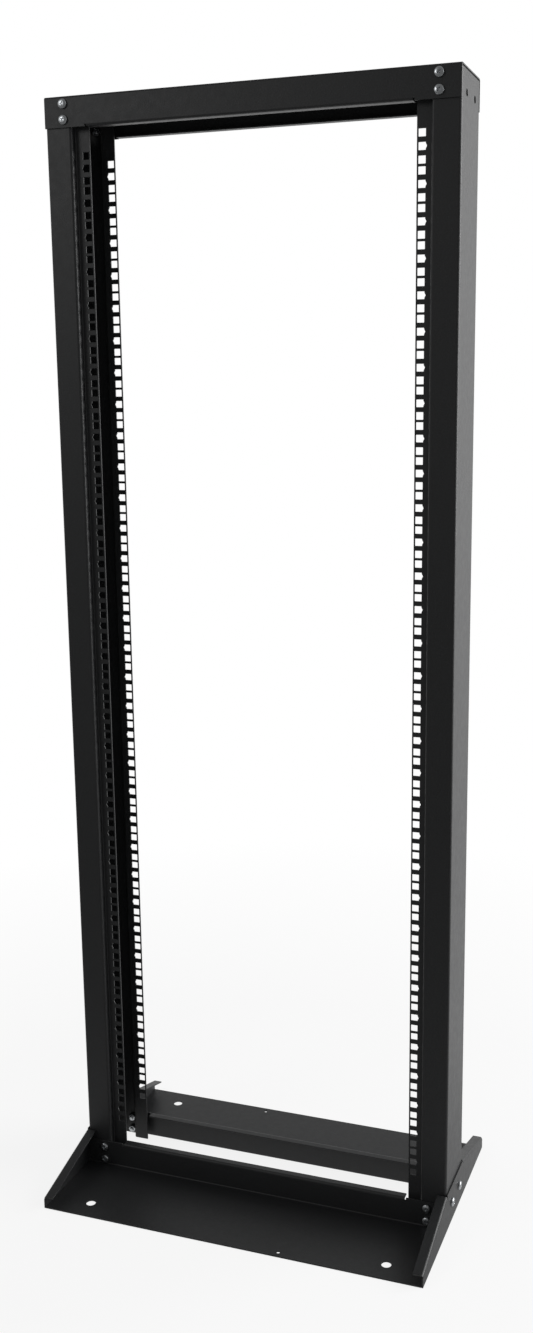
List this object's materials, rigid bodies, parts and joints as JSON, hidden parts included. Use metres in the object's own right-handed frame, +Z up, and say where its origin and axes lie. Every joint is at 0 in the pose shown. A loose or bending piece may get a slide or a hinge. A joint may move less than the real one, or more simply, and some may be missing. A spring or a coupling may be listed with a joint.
{
  "type": "two post open frame rack",
  "caption": "Open frame rack for 19-inch equipment: two C-section posts with square mounting holes, a channel beam on top and a low splayed base.",
  "frame": {"origin": "on the floor, midway between the two posts and midway between the front and rear edges of the base", "axes": "+Z up along the posts, -Y towards the front face, +X to the right seen from the front"},
  "size_m": [0.5818, 0.365, 1.5597],
  "materials": {
    "black_powder_coat": "fine-texture satin black powder coat on sheet steel",
    "zinc_plated_screw": "bright zinc-plated steel"
  },
  "bodies": {
    "root": {"left_post_side": "black_powder_coat", "left_post_front_rail": "black_powder_coat", "left_post_rear_rail": "black_powder_coat", "right_post_side": "black_powder_coat", "right_post_front_rail": "black_powder_coat", "right_post_rear_rail": "black_powder_coat", "top_beam": "black_powder_coat", "front_base_plate": "black_powder_coat", "rear_base_plate": "black_powder_coat", "left_side_plate": "black_powder_coat", "right_side_plate": "black_powder_coat", "top_front_left_screws": "zinc_plated_screw", "top_front_right_screws": "zinc_plated_screw", "top_rear_left_screws": "zinc_plated_screw", "top_rear_right_screws": "zinc_plated_screw", "base_front_left_screws": "zinc_plated_screw", "base_front_right_screws": "zinc_plated_screw", "base_rear_left_screws": "zinc_plated_screw", "base_rear_right_screws": "zinc_plated_screw", "side_left_screws": "zinc_plated_screw", "side_right_screws": "zinc_plated_screw", "top_front_left_nuts": "zinc_plated_screw", "top_front_right_nuts": "zinc_plated_screw", "top_rear_left_nuts": "zinc_plated_screw", "top_rear_right_nuts": "zinc_plated_screw", "base_front_left_nuts": "zinc_plated_screw", "base_front_right_nuts": "zinc_plated_screw", "base_rear_left_nuts": "zinc_plated_screw", "base_rear_right_nuts": "zinc_plated_screw", "side_left_nuts": "zinc_plated_screw", "side_right_nuts": "zinc_plated_screw"}
  },
  "joints": []
}
